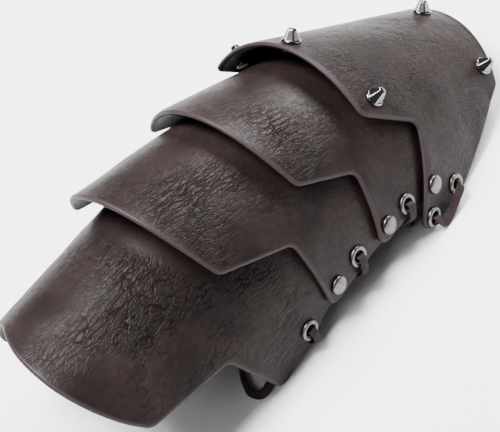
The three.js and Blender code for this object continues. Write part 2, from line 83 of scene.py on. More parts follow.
# Fittings: name, the lame that each sits on, its angle from the crown in degrees and its reach
RIVETS = [("wrist", 1, 104.5, 0.89), ("mid", 2, 96.5, 0.69), ("cuff", 3, 90.5, 0.55)]
EYELETS = [("hand", 0, 110.5, 1.4), ("wrist", 1, 99, 1.15), ("mid", 2, 92.5, 0.93),
           ("cuff_front", 3, 105, 0.51), ("cuff_rear", 3, 95.5, 0.83)]
SPIKES = [("crown_front", 0, 0.066), ("crown_rear", 0, 1.695), ("near_front", 45, 0.215),
          ("near_rear", 48, 1.65), ("far_front", -45, 0.215), ("far_rear", -48, 1.65)]

# The camera in the cuff's frame: degrees round and above, roll, the point it turns about, its distance in
# millimetres, and its focal length in pixels of a picture PICTURE_WIDTH wide
PICTURE_WIDTH, SENSOR = 500, 36
CAMERA = dict(azimuth=-44.77, elevation=24.6, roll=-0.615, target=(-24.35, 0, -17.42), distance=654.8,
              focal=1371.8)


def smooth(x, low, high):
    """Smooth step: 3 t^2 - 2 t^3 with t = (x - low) / (high - low) held to 0..1."""
    t = np.clip((x - low) / (high - low), 0, 1)
    return t * t * (3 - 2 * t)


def unit(vectors):
    """Vectors brought to a length of 1."""
    return vectors / np.linalg.norm(vectors, axis=-1, keepdims=True)


def pitched(angle):
    """The matrix that turns points about Y."""
    c, s = math.cos(angle), math.sin(angle)
    return np.array([[c, 0, s], [0, 1, 0], [-s, 0, c]])


# Unit arm section from the crown down one side: heading = integral of the bend, width = integral of
# cos(heading), height = 1 - integral of sin(heading)
TURN_STEP = 0.01
TURN = np.arange(0, 3.2, TURN_STEP)
middle_turn = TURN[:-1] + TURN_STEP / 2
bend = (CROWN_BEND + (SIDE_BEND - CROWN_BEND) * smooth(middle_turn, 0, 1.6)
        + (HEM_BEND - SIDE_BEND) * smooth(middle_turn, 1.45, 1.85))
HEADING = np.concatenate([[0], np.cumsum(bend * TURN_STEP)])
middle_heading = (HEADING[1:] + HEADING[:-1]) / 2
WIDE = np.concatenate([[0], np.cumsum(np.cos(middle_heading) * TURN_STEP)])
HIGH = 1 - np.concatenate([[0], np.cumsum(np.sin(middle_heading) * TURN_STEP)])
# The part of the section that a polar angle is read back from
POLAR = slice(0, 280)

for lame in LAMES:
    lame["turned"] = pitched(math.radians(lame["pitch"]))
    lame["at"] = np.array([lame["x"], 0, lame["z"]]) * ARM
    lame["spread"] = CUFF_SPREAD
    lame["size"] = lame["radius"] * ARM
CUFF = LAMES[3]

# The hand lame's front edge is not quite even: how far it stands back, in shares of ARM, by the angle from
# the crown, where the near side is positive. It is evened over EDGE_BLEND degrees to either side.
EDGE_ANGLES = [-76, -60, -42, -24, -13.5, 0, 13, 30, 48, 66, 76]
EDGE_BACK = [0, 0.07, 0.14, 0.175, 0.12, 0.05, 0, -0.045, -0.057, -0.04, 0]
EDGE_BLEND = 6


def skin(lame, reach, turn, depth=0.0):
    """Points and outward directions on a lame: (reach, -r wide(turn), r high(turn)) with
    r = size + taper reach, less depth along the normal, then turned by the pitch and placed."""
    reach, turn, depth = np.broadcast_arrays(*[np.asarray(a, float) for a in (reach, turn, depth)])
    size = lame["size"] + lame["taper"] * reach
    bare = np.abs(turn)
    wide = np.interp(bare, TURN, WIDE) * np.sign(turn) * lame["spread"]
    high = np.interp(bare, TURN, HIGH)
    heading = np.interp(bare, TURN, HEADING) * np.sign(turn)
    sine, cosine = np.sin(heading), np.cos(heading) * lame["spread"]
    normal = unit(np.stack([-lame["taper"] * (wide * sine + high * cosine), -sine, cosine], -1))
    point = np.stack([reach, -size * wide, size * high], -1) - depth[..., None] * normal
    return point @ lame["turned"].T + lame["at"], normal @ lame["turned"].T


def locate(lame, points):
    """Reach, turn and height over a lame of points, by the polar angle across its axis."""
    local = (np.asarray(points) - lame["at"]) @ lame["turned"]
    size = lame["size"] + lame["taper"] * local[..., 0]
    polar = np.arctan2(WIDE[POLAR] * lame["spread"], HIGH[POLAR])
    angle = np.arctan2(np.abs(local[..., 1]), local[..., 2])
    far = np.interp(angle, polar, np.hypot(WIDE[POLAR] * lame["spread"], HIGH[POLAR]))
    turn = np.interp(angle, polar, TURN[POLAR])
    return local[..., 0], -np.sign(local[..., 1]) * turn, np.hypot(local[..., 1], local[..., 2]) - size * far


# Widens each inner lame until, at its rivets, its face lies SEAT under the lame outside
for _, on, angle, reach in reversed(RIVETS):
    under = skin(LAMES[on], reach * ARM, math.radians(angle), LEATHER + FACET)[0]
    low, high = 0.8, 1.3
    for _ in range(HALVINGS):
        LAMES[on - 1]["spread"] = (low + high) / 2
        if locate(LAMES[on - 1], under)[2] > SEAT:
            low = LAMES[on - 1]["spread"]
        else:
            high = LAMES[on - 1]["spread"]


def hem_share(lame, reach):
    """Share of the way along the hem, from the lower front corner to the rear one, at a reach."""
    return (reach / ARM - lame["corner_reach"]) / (lame["rear_reach"] - lame["corner_reach"])


def hem_line(lame, share):
    """Turn of the straight line between the two corners at a share of the way."""
    return np.radians(lame["corner"] + (lame["rear_angle"] - lame["corner"]) * share)


def bowed(lame, reach, turn):
    """Draws a turn up by the hem's bow 4 v (1 - v), which fades with the fourth power above the hem."""
    share = np.clip(hem_share(lame, reach), 0, 1)
    bow = math.radians(lame["hem_bow"]) * 4 * share * (1 - share)
    return np.sign(turn) * (np.abs(turn) - bow * np.minimum(np.abs(turn) / hem_line(lame, share), 1) ** 4)


def hem_turn(lame, reach):
    """Turn of the hem at a reach."""
    return float(bowed(lame, reach, hem_line(lame, hem_share(lame, reach))))


def front_reach(lame, turn):
    """Reach of a lame's front edge at a turn, its corners left sharp."""
    angle = np.abs(np.degrees(turn))
    tip, notch, corner = lame["tip"], lame["notch"], lame["corner"]
    crown = lame["lead"] * (1 - (angle / tip) ** 2)
    lower = np.interp(angle, [tip, notch, corner], [0, lame["notch_reach"], lame["corner_reach"]])
    return ARM * np.where(angle < tip, crown, lower)


def covering(lame, reach, turn):
    """How far a lame reaches past a line PRESS_LEAD ahead of the front edge of the one outside it, and its
    height over that one."""
    outer = LAMES[LAMES.index(lame) + 1]
    back, across, height = locate(outer, skin(lame, reach, turn)[0])
    return back - front_reach(outer, across) + PRESS_LEAD, height


def pressed(lame, reach, turn):
    """How far the lame outside presses this one in, so that the two never meet."""
    if lame is CUFF:
        return np.zeros(np.shape(reach))
    past, height = covering(lame, reach, turn)
    return smooth(past / PRESS_RUN + 1, 0, 1) * np.maximum(height + LEATHER + SEAT + FACET * 1.5, 0)


def surface(lame, reach, turn, depth=0.0):
    """Points and outward directions on a lame as it stands, pressed in where another covers it."""
    return skin(lame, reach, turn, depth + pressed(lame, reach, turn))


def rounded(path, radii, steps):
    """Replaces the corners of a flat path by arcs of their own radius."""
    points = []
    for index, corner in enumerate(path):
        if not radii[index]:
            points.append(corner)
            continue
        back, ahead = unit(path[index - 1] - corner), unit(path[index + 1] - corner)
        half = math.acos(float(np.clip(back @ ahead, -1, 1))) / 2
        centre = corner + unit(back + ahead) * radii[index] / math.sin(half)
        start = corner + back * radii[index] / math.tan(half) - centre
        end = corner + ahead * radii[index] / math.tan(half) - centre
        swing = math.atan2(start[0] * end[1] - start[1] * end[0], start @ end)
        for step in range(steps + 1):
            c, s = math.cos(swing * step / steps), math.sin(swing * step / steps)
            points.append(centre + np.array([start[0] * c - start[1] * s, start[0] * s + start[1] * c]))
    return points


def half_outline(lame, arc_steps, crown_steps):
    """Front and rear edges of half a lame, unrolled flat in mm and paired point by point: a parabola over
    the crown to 7/8 of the way, then straight runs in 1, 2 and 6 parts between rounded corners."""
    shares = np.arange(crown_steps * 7 // 8 + 1) / crown_steps

    def flat(reach, angle):
        return np.array([reach * ARM, math.radians(angle) * lame["size"]])

    def draw(curve, bends, last):
        points = [curve(share) for share in shares] + [bend[0] for bend in bends]
        radii = [0] * len(shares) + [bend[1] for bend in bends] + [0]
        path = rounded(points + [last], radii, arc_steps)[:-1]
        for index, parts in ((2, 6), (1, 2)):
            before = len(shares) + index * (arc_steps + 1) - 1
            between = [path[before] + (path[before + 1] - path[before]) * k / parts for k in range(1, parts)]
            path[before + 1:before + 1] = between
        return path

    corner = flat(lame["corner_reach"], lame["corner"])
    rear = flat(lame["rear_reach"], lame["rear_angle"])
    front = draw(lambda share: flat(lame["lead"] * (1 - share * share), lame["tip"] * share), [
        (flat(0, lame["tip"]), TIP_ROUND),
        (flat(lame["notch_reach"], lame["notch"]), NOTCH_ROUND),
        (corner, CORNER_ROUND)], rear)
    if "rear_tip" in lame:
        tip_reach = lame["rear_tip_reach"]
        back = draw(lambda share: flat(tip_reach + (lame["rear_crown"] - tip_reach) * (1 - share * share),
                                       lame["rear_tip"] * share), [
            (flat(tip_reach, lame["rear_tip"]), TIP_ROUND),
            (flat(lame["rear_notch_reach"], lame["rear_notch"]), NOTCH_ROUND),
            (rear, CORNER_ROUND)], corner)
        return np.array(front), np.array(back)
    crown = np.array([lame["rear_crown"] * ARM, rear[1] * 0.5])
    turned = rounded([crown, rear, corner], [0, REAR_ROUND, 0], arc_steps)[1:-1]
    front = np.array(front)
    plain = len(front) - len(turned)
    share = front[:plain, 1] / front[plain, 1]
    back = np.stack([crown[0] + (turned[0][0] - crown[0]) * share ** 2, turned[0][1] * share], 1)
    return front, np.concatenate([back, np.array(turned)])


def whole(half):
    """Mirrors half an edge about the crown: (reach, -y) back to the start, then (reach, y)."""
    return np.concatenate([half[:0:-1] * [1, -1], half])


def flat_grid(lame, front, rear, shares):
    """Reach and turn of a lame's grid: straight between the paired edges, then bowed near the hem."""
    share = np.broadcast_to(shares, (len(front), np.shape(shares)[-1]))
    flat = front[:, None] + (rear - front)[:, None] * share[..., None]
    return flat[..., 0], bowed(lame, flat[..., 0], flat[..., 1] / lame["size"])


def plain_grid(lame, depth):
    """A lame's face as the solid model has it."""
    front, rear = half_outline(lame, PLAIN_ARC, PLAIN_CROWN)
    reach, turn = flat_grid(lame, whole(front), whole(rear), np.linspace(0, 1, PLAIN_ROWS))
    return surface(lame, reach, turn, depth)[0].reshape(-1, 3)


def tipped(points, tilt):
    """Turns points about Y by tilt."""
    return np.asarray(points) @ pitched(tilt).T


# Tips the bracer until the hand lame and the lames behind it stand equally low
outlines = [np.concatenate([plain_grid(lame, 0), plain_grid(lame, LEATHER)]) for lame in LAMES]
hand_points, rear_points, cuff_points = outlines[0], np.concatenate(outlines[1:]), outlines[3]
low, high = 0.0, math.pi / 3
for _ in range(HALVINGS):
    TILT = (low + high) / 2
    if tipped(rear_points, TILT)[:, 2].min() > tipped(hand_points, TILT)[:, 2].min():
        low = TILT
    else:
        high = TILT
FLOOR = tipped(hand_points, TILT)[:, 2].min()
SHIFT = np.array(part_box("cuff")[0]) / MM - tipped(cuff_points, TILT).min(0)
SHIFT[1] = 0


def rest(points):
    """From the cuff's frame in mm to where the bracer stands, in metres."""
    return (tipped(points, TILT) + SHIFT) * MM


# Noise for the leather: seeded lattices read with smooth weights
LATTICE = 256


def lattice_noise(x, y, seed):
    """Value noise: random lattice heights in -1..1, blended by smooth weights along x and y."""
    heights = np.random.RandomState(seed).uniform(-1, 1, (LATTICE, LATTICE))
    i, j = np.floor(x).astype(int), np.floor(y).astype(int)
    u, v = x - i, y - j
    u, v = u * u * u * (u * (u * 6 - 15) + 10), v * v * v * (v * (v * 6 - 15) + 10)
    i, j, k, m = i % LATTICE, j % LATTICE, (i + 1) % LATTICE, (j + 1) % LATTICE
    top = heights[i, j] * (1 - u) + heights[k, j] * u
    low_row = heights[i, m] * (1 - u) + heights[k, m] * u
    return top * (1 - v) + low_row * v


def layered(x, y, seed, layers=4):
    """Sum of lattice noise, each layer twice as fine and half as strong."""
    total = np.zeros(np.shape(x))
    for layer in range(layers):
        finer = 2 ** layer
        total += lattice_noise(x * finer + 17.3 * layer, y * finer + 9.1 * layer, seed + layer) / finer
    return total


def aslant(x, y, angle):
    """Places along and across a direction that runs at an angle."""
    c, s = math.cos(angle), math.sin(angle)
    return x * c + y * s, -x * s + y * c


def folds(x, y, angle, long, short, seed, width):
    """Creases: narrow valleys along the zero lines of stretched noise, which run at an angle."""
    along, across = aslant(x, y, angle)
    warp = layered(x / 18, y / 18, seed + 50, 3)
    field = layered(along / long + warp * 0.35, across / short + warp * 0.8, seed, 3)
    return smooth(1 - np.abs(field) / width, 0, 1)


def leather_relief(x, y, seed, strength, main):
    """Height in mm, painted crease shade 0..1 and wear 0..1 of the leather at unrolled places x, y in mm. The
    crease shade is painted shade: how far the colour is darkened along the creases. main lists the centre,
    direction, length, breadth and depth of each strong fan of creases."""
    wander = layered(x / 40, y / 40, seed + 5, 2)
    patchy = smooth(wander + 0.3 * layered(x / 12, y / 12, seed + 6, 2), -0.2, 0.8)
    long = folds(x, y, 0.9, 40, 7.5, seed + 11, 0.16) * patchy
    cross = folds(x, y, -0.35, 24, 6.0, seed + 23, 0.15) * patchy
    swell = layered(x / 30, y / 30, seed + 61, 3)
    height = swell * 0.28 - strength * (0.2 * long + 0.16 * cross)
    # Painted shade: how far the colour is darkened along the creases
    crease_shade = strength * (long * 0.25 + cross * 0.2)
    worn = 0.12 + strength * 0.4 * patchy
    for number, (middle_x, middle_y, angle, length, breadth, depth) in enumerate(main):
        along, across = aslant(x - middle_x, y - middle_y, angle)
        weight = np.exp(-(along / length) ** 2 - (across / breadth) ** 2)
        fan = folds(x, y, angle, 34, 4.2, seed + 71 + number, 0.25)
        height = height - weight * depth * 0.38 * fan + weight * depth * 0.25
        crease_shade = crease_shade + weight * fan * 0.35
        worn = worn + weight * depth
    return height, np.clip(crease_shade, 0, 1), np.clip(worn, 0, 1)


def new_object(name, points, faces, material, sharp=None):
    """A smooth mesh object at the origin, its shape all in its vertices, in metres. faces is a list of
    arrays, each of faces with one number of corners; edges steeper than sharp degrees are left hard."""
    mesh = bpy.data.meshes.new(name)
    mesh.vertices.add(len(points))
    mesh.vertices.foreach_set("co", np.asarray(points, np.float32).ravel())
    corners = np.concatenate([part.ravel() for part in faces]).astype(np.int32)
    sizes = np.concatenate([np.full(len(part), part.shape[1]) for part in faces])
    mesh.loops.add(len(corners))
    mesh.loops.foreach_set("vertex_index", corners)
    mesh.polygons.add(len(sizes))
    starts = np.concatenate([[0], np.cumsum(sizes)[:-1]]).astype(np.int32)
    mesh.polygons.foreach_set("loop_start", starts)
    mesh.update(calc_edges=True)
    mesh.polygons.foreach_set("use_smooth", np.ones(len(sizes), bool))
    mesh.materials.append(material)
    if sharp:
        mesh.set_sharp_from_angle(angle=math.radians(sharp))
    made = bpy.data.objects.new(name, mesh)
    bpy.context.collection.objects.link(made)
    return made


def settle(piece, node_name):
    """The piece stands for its solid, which it hides, and rides with the bracer."""
    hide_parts(node_name)
    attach(piece, "root")


# Materials
def plain_material(name, colour, roughness, metal=0.0):
    """A material with one principled shader and set values."""
    made = bpy.data.materials.new(name)
    made.use_nodes = True
    shader = made.node_tree.nodes["Principled BSDF"]
    shader.inputs["Base Color"].default_value = (*colour, 1)
    shader.inputs["Roughness"].default_value = roughness
    shader.inputs["Metallic"].default_value = metal
    return made


def feed(tree, entry, value):
    """Links a socket to a node's input, or sets the input to a value."""
    if isinstance(value, bpy.types.NodeSocket):
        tree.links.new(value, entry)
    else:
        entry.default_value = value


def node(tree, kind, inputs=None, **settings):
    """Adds a shader node with its settings, and feeds its inputs by name or number."""
    made = tree.nodes.new(kind)
    for key, value in settings.items():
        setattr(made, key, value)
    for key, value in (inputs or {}).items():
        feed(tree, made.inputs[key], value)
    return made


def mix_colour(tree, factor, first, second):
    """Mixes two colours by a factor."""
    return node(tree, "ShaderNodeMix", {0: factor, 6: first, 7: second}, data_type="RGBA").outputs[2]


def maths(tree, operation, first, second):
    """One step of arithmetic."""
    return node(tree, "ShaderNodeMath", {0: first, 1: second}, operation=operation).outputs[0]


def vectors(tree, operation, inputs):
    """One step of arithmetic on vectors."""
    return node(tree, "ShaderNodeVectorMath", inputs, operation=operation).outputs["Vector"]


def noise(tree, place, scale, detail, rough):
    """A noise texture read at a place."""
    return node(tree, "ShaderNodeTexNoise",
                {"Vector": place, "Scale": scale, "Detail": detail, "Roughness": rough})


def ramp(tree, value, low, high, to_low=0.0, to_high=1.0, kind="LINEAR"):
    """Carries a value's span low..high over to to_low..to_high, held at both ends."""
    return node(tree, "ShaderNodeMapRange", {"Value": value, "From Min": low, "From Max": high,
                                             "To Min": to_low, "To Max": to_high},
                interpolation_type=kind).outputs["Result"]


def bump(tree, height, strength, distance, under=None, invert=False):
    """Tilts the normal by a height, on top of another bump where one is given."""
    inputs = {"Height": height, "Strength": strength, "Distance": distance}
    if under is not None:
        inputs["Normal"] = under
    return node(tree, "ShaderNodeBump", inputs, invert=invert).outputs["Normal"]


def cracks(tree, place, angle, long, short, width, strength):
    """Fine cracks: the borders of cells long by short in metres, turned by an angle; strength on a border."""
    turned = node(tree, "ShaderNodeMapping",
                  {"Vector": place, "Rotation": (0, 0, -angle), "Scale": (1 / long, 1 / short, 1 / short)},
                  vector_type="POINT").outputs["Vector"]
    cells = node(tree, "ShaderNodeTexVoronoi", {"Vector": turned, "Scale": 1.0, "Randomness": 1.0},
                 feature="DISTANCE_TO_EDGE")
    return ramp(tree, cells.outputs["Distance"], 0.0, width, strength, 0.0, "SMOOTHSTEP")


# Nets of deep, crossing and fine cracks: angle, length and breadth of their cells in metres, width as a share
# of the cells, and strength; and how far noise shifts them, in metres
CRACKS = [(0.5, 0.019, 0.0023, 0.1, 1.0), (2.0, 0.011, 0.0035, 0.06, 0.75), (1.1, 0.0036, 0.0018, 0.1, 0.35)]
CRACK_DRIFT = 0.007
EDGE_PAINT = (0.034, 0.023, 0.0255, 1)
INNER_FACE = (0.006, 0.005, 0.005, 1)
SHEEN, SHEEN_LOST = 0.1, 0.08


def leather_material(name, base, high, dark, roughness):
    """Leather: a cloudy base with dark flecks, cracked where worn, darkened along its creases by painted
    shade, with edge paint along the edge and black inside, with a pebbled grain in its bump. Only the cracks
    follow the unrolled hide; the rest is fixed in space."""
    made = plain_material(name, base, roughness)
    tree = made.node_tree
    shader = tree.nodes["Principled BSDF"]
    place = node(tree, "ShaderNodeTexCoord").outputs["Object"]
    unrolled = node(tree, "ShaderNodeAttribute", attribute_name="unrolled").outputs["Vector"]
    crease_shade, edge, inside, worn = [node(tree, "ShaderNodeAttribute", attribute_name=key).outputs["Fac"]
                                  for key in ("crease_shade", "edge", "inside", "worn")]
    cloud = noise(tree, place, 38.0, 5.0, 0.6).outputs["Fac"]
    fleck = noise(tree, place, 420.0, 3.0, 0.6).outputs["Fac"]
    pebble = node(tree, "ShaderNodeTexVoronoi", {"Vector": place, "Scale": 950.0, "Randomness": 1.0},
                  feature="F1").outputs["Distance"]
    drift = noise(tree, unrolled, 70.0, 3.0, 0.5).outputs["Color"]
    drift = vectors(tree, "SUBTRACT", {0: drift, 1: (0.5, 0.5, 0.5)})
    drift = vectors(tree, "SCALE", {0: drift, "Scale": CRACK_DRIFT})
    shifted = vectors(tree, "ADD", {0: drift, 1: unrolled})
    deep, cross, fine = [cracks(tree, shifted, *sizes) for sizes in CRACKS]
    net = maths(tree, "MULTIPLY", maths(tree, "MAXIMUM", maths(tree, "MAXIMUM", deep, cross), fine), worn)

    dark = (*dark, 1)
    colour = mix_colour(tree, ramp(tree, cloud, 0.38, 0.66), (*base, 1), (*high, 1))
    colour = mix_colour(tree, ramp(tree, fleck, 0.4, 0.75, 0.0, 0.5), colour, dark)
    # Painted shade along the creases, and the cracks' own dark lines, darken the colour
    crease_shade_and_cracks = maths(tree, "MAXIMUM", crease_shade, maths(tree, "MULTIPLY", net, 0.75))
    colour = mix_colour(tree, crease_shade_and_cracks, colour, dark)
    colour = mix_colour(tree, edge, colour, EDGE_PAINT)
    feed(tree, shader.inputs["Base Color"], mix_colour(tree, inside, colour, INNER_FACE))
    feed(tree, shader.inputs["Roughness"], ramp(tree, fleck, 0.3, 0.7, roughness - 0.06, roughness + 0.08))
    dull = maths(tree, "MULTIPLY", maths(tree, "MAXIMUM", net, inside), SHEEN_LOST)
    feed(tree, shader.inputs["Specular IOR Level"], maths(tree, "SUBTRACT", SHEEN, dull))
    grain = bump(tree, pebble, 0.4, 0.00012)
    grain = bump(tree, fleck, 0.3, 0.0003, grain)
    feed(tree, shader.inputs["Normal"], bump(tree, net, 0.55, 0.00045, grain, True))
    return made


def metal_material(name, colour, roughness, dark, scale):
    """Metal with a faint cloud of tarnish."""
    made = plain_material(name, colour, roughness, 1.0)
    tree = made.node_tree
    shader = tree.nodes["Principled BSDF"]
    cloud = noise(tree, node(tree, "ShaderNodeTexCoord").outputs["Object"], scale, 4.0, 0.65).outputs["Fac"]
    feed(tree, shader.inputs["Base Color"],
         mix_colour(tree, ramp(tree, cloud, 0.4, 0.75), (*colour, 1), (*dark, 1)))
    feed(tree, shader.inputs["Normal"], bump(tree, cloud, 0.15, 0.0002))
    return made


HIDE = leather_material("formed leather", (0.0105, 0.0069, 0.0068), (0.021, 0.0138, 0.0128),
                        (0.0035, 0.0024, 0.0024), 0.4)
BAND = leather_material("lace leather", (0.018, 0.0105, 0.0115), (0.03, 0.018, 0.0195),
                        (0.007, 0.0045, 0.0045), 0.7)
STEEL = metal_material("polished steel", (0.2, 0.19, 0.19), 0.17, (0.12, 0.115, 0.115), 300.0)
SILVER = metal_material("aged silver", (0.13, 0.124, 0.12), 0.32, (0.07, 0.065, 0.062), 500.0)


# Lames
EDGE = LEATHER / 2
INSETS = np.array([0, 0.03, 0.12, 0.27, 0.48, 0.74, 1.0, 1.4]) * EDGE
# Steps along an arc and over half a crown, and how many rows the inner face takes as one
FINE_ARC, FINE_CROWN, INNER_ROWS = 14, 32, 12
# Where the relief fades in, in mm: from the edge, from a fitting's middle and from the lame outside
EDGE_FADE, FITTING_FADE, COVER_FADE = (0.4, 4.0), (4.5, 8.0), (-2.5, 1)
# Least sine of the angle between a column and an edge, and how many distances are worked out at a time
LEAST_SLANT, BATCH = 0.25, 4000


def resampled(front, rear, count):
    """Spreads count points evenly along the longer of the paired edges. The rounded corners bring the last
    ones close to the hem, as the square of their step."""
    steps = np.maximum(*[np.linalg.norm(np.diff(edge, axis=0), axis=1) for edge in (front, rear)])
    along = np.concatenate([[0], np.cumsum(steps)])
    spread = np.linspace(0, along[-1], count)
    return [np.stack([np.interp(spread, along, edge[:, k]) for k in (0, 1)], 1) for edge in (front, rear)]


def row_shares(front, rear, middle):
    """Where the rows fall on each column, as shares: near both edges at the square distances INSETS."""
    along = rear - front
    length = np.linalg.norm(along, axis=1)
    along = along / length[:, None]

    def slant(edge):
        tangent = np.gradient(edge, axis=0)
        tangent = tangent / np.maximum(np.linalg.norm(tangent, axis=1), 1e-9)[:, None]
        return np.maximum(np.abs(tangent[:, 0] * along[:, 1] - tangent[:, 1] * along[:, 0]), LEAST_SLANT)

    head = INSETS[None] / (slant(front) * length)[:, None]
    tail = 1 - INSETS[None, ::-1] / (slant(rear) * length)[:, None]
    share = np.linspace(0, 1, middle + 2)[None, 1:-1]
    return np.concatenate([head, head[:, -1:] + (tail[:, :1] - head[:, -1:]) * share, tail], 1)


def edge_distance(x, y, outline):
    """Least distance from places x, y to a closed outline."""
    outline = outline.astype(np.float32)
    step = np.roll(outline, -1, axis=0) - outline
    square = np.maximum((step ** 2).sum(1), 1e-9)
    places = np.stack([x.ravel(), y.ravel()], 1).astype(np.float32)
    nearest = np.empty(len(places), np.float32)
    for start in range(0, len(places), BATCH):
        offset = places[start:start + BATCH, None] - outline[None]
        share = np.clip((offset * step[None]).sum(-1) / square[None], 0, 1)
        gap = offset - share[..., None] * step[None]
        nearest[start:start + BATCH] = np.sqrt((gap ** 2).sum(-1).min(1))
    return nearest.reshape(x.shape)


def both_sides(fittings):
    """Lame, angle and reach of each fitting on the near side and of its twin on the far side."""
    return [(on, sign * angle, reach) for _, on, angle, reach in fittings for sign in (1, -1)]


def near_fittings(index, reach, turn):
    """Distance along a lame's face to the nearest of its own fittings, or of the rivets that go through it
    from the lame outside."""
    lame = LAMES[index]
    own = both_sides(RIVETS + EYELETS) + [(3, angle, along) for _, angle, along in SPIKES]
    least = np.full(reach.shape, 1e3)
    own = [item for item in own if item[0] == index]
    for on, angle, along in own + [item for item in both_sides(RIVETS) if item[0] == index + 1]:
        middle, across = along * ARM, math.radians(angle)
        if on != index:
            middle, across = locate(lame, skin(LAMES[on], middle, across)[0])[:2]
        least = np.minimum(least, np.hypot(reach - middle, (turn - across) * lame["size"]))
    return least


def quads(index):
    """Faces between neighbours in a grid of vertex numbers."""
    return np.stack([index[:-1, :-1], index[1:, :-1], index[1:, 1:], index[:-1, 1:]], -1).reshape(-1, 4)


def store(piece, values):
    """Writes a number for each vertex under each name, for the materials to read."""
    for name, value in values.items():
        attribute = piece.data.attributes.new(name, "FLOAT", "POINT")
        attribute.data.foreach_set("value", value.astype(np.float32))


def make_lame(index, half_columns, middle_rows, seed, strength, main):
    """A lame's leather: outer and inner faces share their outline, where the depth is half the
    leather; within half the leather of the edge the depth follows a quarter circle."""
    lame = LAMES[index]
    half = half_outline(lame, FINE_ARC, FINE_CROWN)
    front, rear = [whole(edge) for edge in resampled(*half, half_columns)]
    if index == 0:
        angle = np.degrees(front[:, 1] / lame["size"])
        blend = angle[:, None] + np.linspace(-EDGE_BLEND, EDGE_BLEND, 9)
        shift = np.interp(blend, EDGE_ANGLES, EDGE_BACK).mean(1)
        front[:, 0] += ARM * shift * (1 - smooth(np.abs(angle), lame["tip"] - 2, lame["tip"] + 8))
    shares = row_shares(front, rear, middle_rows)
    reach, turn = flat_grid(lame, front, rear, shares)
    columns, rows = reach.shape
    x, y = reach, turn * lame["size"]
    ring = np.stack([np.concatenate([v[:, 0], v[-1, 1:], v[-2::-1, -1], v[0, -2:0:-1]]) for v in (x, y)], 1)
    gap = edge_distance(x, y, ring)
    gap[[0, -1]] = 0
    gap[:, [0, -1]] = 0
    near = np.clip(EDGE - gap, 0, None)
    depth = EDGE - np.sqrt(np.maximum(EDGE ** 2 - near ** 2, 0))
    press = pressed(lame, reach, turn)
    lift, crease_shade, worn = leather_relief(x, y, seed, strength, main)
    fade = smooth(gap, *EDGE_FADE) * smooth(near_fittings(index, reach, turn), *FITTING_FADE)
    if lame is not CUFF:
        fade = fade * (1 - smooth(covering(lame, reach, turn)[0], *COVER_FADE))
    place, normal = skin(lame, reach, turn, depth + press)
    place = place + normal * (lift * fade)[..., None]
    dense = len(INSETS)
    kept = np.concatenate([np.arange(dense), np.arange(dense, rows - dense, INNER_ROWS),
                           np.arange(rows - dense, rows)])
    inner = skin(lame, *[grid[1:-1][:, kept[1:-1]] for grid in (reach, turn, LEATHER - depth + press)])[0]
    points = rest(np.concatenate([place.reshape(-1, 3), inner.reshape(-1, 3)]))

    own = np.arange(columns * rows).reshape(columns, rows)
    under = own[:, kept].copy()
    under[1:-1, 1:-1] = columns * rows + np.arange((columns - 2) * (len(kept) - 2)).reshape(columns - 2, -1)
    # At the hems the inner face has fewer rows than the outer one, so fans join the two
    faces = [quads(own), quads(under[1:-1])[:, ::-1]]
    fans = []
    owner = np.searchsorted(kept, np.arange(rows - 1), side="right") - 1
    for hem, beside, turned in ((0, 1, 1), (columns - 1, columns - 2, -1)):
        rim = np.stack([under[beside, owner], own[hem, :-1], own[hem, 1:]], -1)
        ends = np.stack([under[beside, :-1], own[hem, kept[1:]], under[beside, 1:]], -1)
        fans.append(np.concatenate([rim, ends])[:, ::turned])
    made = new_object(lame["name"] + "_leather", points, faces + [np.concatenate(fans)], HIDE)
    count = len(inner.reshape(-1, 3))
    # The crease value is painted shade: it darkens the colour along the creases
    values = {"crease_shade": crease_shade * fade, "edge": 1 - smooth(gap, EDGE * 0.55, EDGE * 1.5), "inside": 0 * gap,
              "worn": worn * (0.15 + 0.85 * fade)}
    unrolled = np.concatenate([np.stack([x, y, x * 0 + seed], -1).reshape(-1, 3), np.zeros((count, 3))]) * MM
    flat = made.data.attributes.new("unrolled", "FLOAT_VECTOR", "POINT")
    flat.data.foreach_set("vector", unrolled.astype(np.float32).ravel())
    store(made, {key: np.concatenate([value.ravel(), np.full(count, float(key == "inside"))])
                 for key, value in values.items()})
    return made


def placed(points, place, normal):
    """Turns points about +Y, the fitting's own axis, to the outward direction at its place."""
    up = np.array([0.0, 1.0, 0.0])
    axis = np.cross(up, normal)
    sine, cosine = np.linalg.norm(axis), float(up @ normal)
    if sine < 1e-9:
        return points * np.sign(cosine) + place
    axis = axis / sine
    skew = np.array([[0, -axis[2], axis[1]], [axis[2], 0, -axis[0]], [-axis[1], axis[0], 0]])
    return points @ (np.eye(3) + sine * skew + (1 - cosine) * skew @ skew).T + place


# Steps round a rivet or eyelet, a spike and a hole, steps along a rounded corner, and the degrees from
# which an edge stays hard
AROUND_FITTING, AROUND_SPIKE, AROUND_HOLE, PROFILE_ARC, HARD_EDGE = 48, 96, 40, 3, 40


def rounded_profile(corners, radii):
    """A profile of (radius, height) corners with each corner rounded by its own radius."""
    return np.array(rounded([np.array(corner, float) for corner in corners], radii, PROFILE_ARC))


